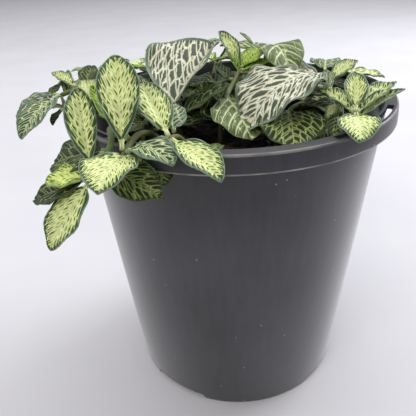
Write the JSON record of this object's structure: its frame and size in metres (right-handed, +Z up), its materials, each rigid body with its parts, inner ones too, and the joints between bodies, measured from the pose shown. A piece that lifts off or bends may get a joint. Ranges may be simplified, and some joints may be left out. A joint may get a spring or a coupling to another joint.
{
  "type": "potted nerve plant",
  "caption": "Round tapered nursery pot with a banded rim, filled with soil and a spreading fittonia whose veined leaves cover the mouth and trail over one side.",
  "frame": {"origin": "centre of the pot's underside, on the surface it stands on", "axes": "+Z up along the pot's axis; -Y towards the side with the open gap in the leaves; the trailing shoot hangs over the rim between -X and -Y"},
  "size_m": [0.1721, 0.1732, 0.1667],
  "materials": {
    "pot_plastic": "satin",
    "potting_soil": "matte",
    "green_stem": "satin",
    "striped_leaf": "satin",
    "veined_leaf": "satin",
    "lime_leaf": "satin"
  },
  "bodies": {
    "root": {"leaf_centre_large": "veined_leaf", "leaf_centre_left": "veined_leaf", "leaf_centre_right": "veined_leaf", "leaf_front_left": "striped_leaf", "leaf_front_left_curled": "veined_leaf", "leaf_front_left_heart": "striped_leaf", "leaf_front_left_lime": "lime_leaf", "leaf_front_left_upright": "striped_leaf", "leaf_front_over_rim": "striped_leaf", "leaf_front_right": "veined_leaf", "leaf_left_arching": "veined_leaf", "leaf_left_broad": "striped_leaf", "leaf_left_dark_upright": "veined_leaf", "leaf_left_edge_on": "veined_leaf", "leaf_left_upright": "striped_leaf", "leaf_middle_folded": "striped_leaf", "leaf_middle_lime_low": "lime_leaf", "leaf_middle_lime_tall": "lime_leaf", "leaf_middle_pale": "veined_leaf", "leaf_middle_shaded": "veined_leaf", "leaf_rear_left": "striped_leaf", "leaf_rear_left_inner": "veined_leaf", "leaf_rear_left_outer": "striped_leaf", "leaf_rear_left_rear": "striped_leaf", "leaf_rear_middle_arching": "veined_leaf", "leaf_rear_middle_grey": "veined_leaf", "leaf_rear_middle_rear": "veined_leaf", "leaf_rear_right": "veined_leaf", "leaf_rear_right_rear": "veined_leaf", "leaf_rear_right_side": "striped_leaf", "leaf_rear_right_tip": "striped_leaf", "leaf_rear_right_veined": "veined_leaf", "leaf_right_back": "striped_leaf", "leaf_right_back_left": "striped_leaf", "leaf_right_back_right": "striped_leaf", "leaf_right_middle_arching": "veined_leaf", "leaf_right_middle_green": "veined_leaf", "leaf_right_middle_inside_rim": "veined_leaf", "leaf_right_outer": "striped_leaf", "leaf_right_over_rim": "striped_leaf", "leaf_trailing_dark_left": "veined_leaf", "leaf_trailing_dark_right": "veined_leaf", "leaf_trailing_hanging": "striped_leaf", "leaf_trailing_lime": "lime_leaf", "leaf_trailing_side": "veined_leaf", "leaf_trailing_upright": "striped_leaf", "pot": "pot_plastic", "soil": "potting_soil", "stem_centre": "green_stem", "stem_front": "green_stem", "stem_front_left": "green_stem", "stem_left": "green_stem", "stem_middle": "green_stem", "stem_rear": "green_stem", "stem_rear_left": "green_stem", "stem_rear_middle": "green_stem", "stem_rear_right": "green_stem", "stem_right": "green_stem", "stem_right_middle": "green_stem", "stem_trailing": "green_stem"}
  },
  "joints": []
}
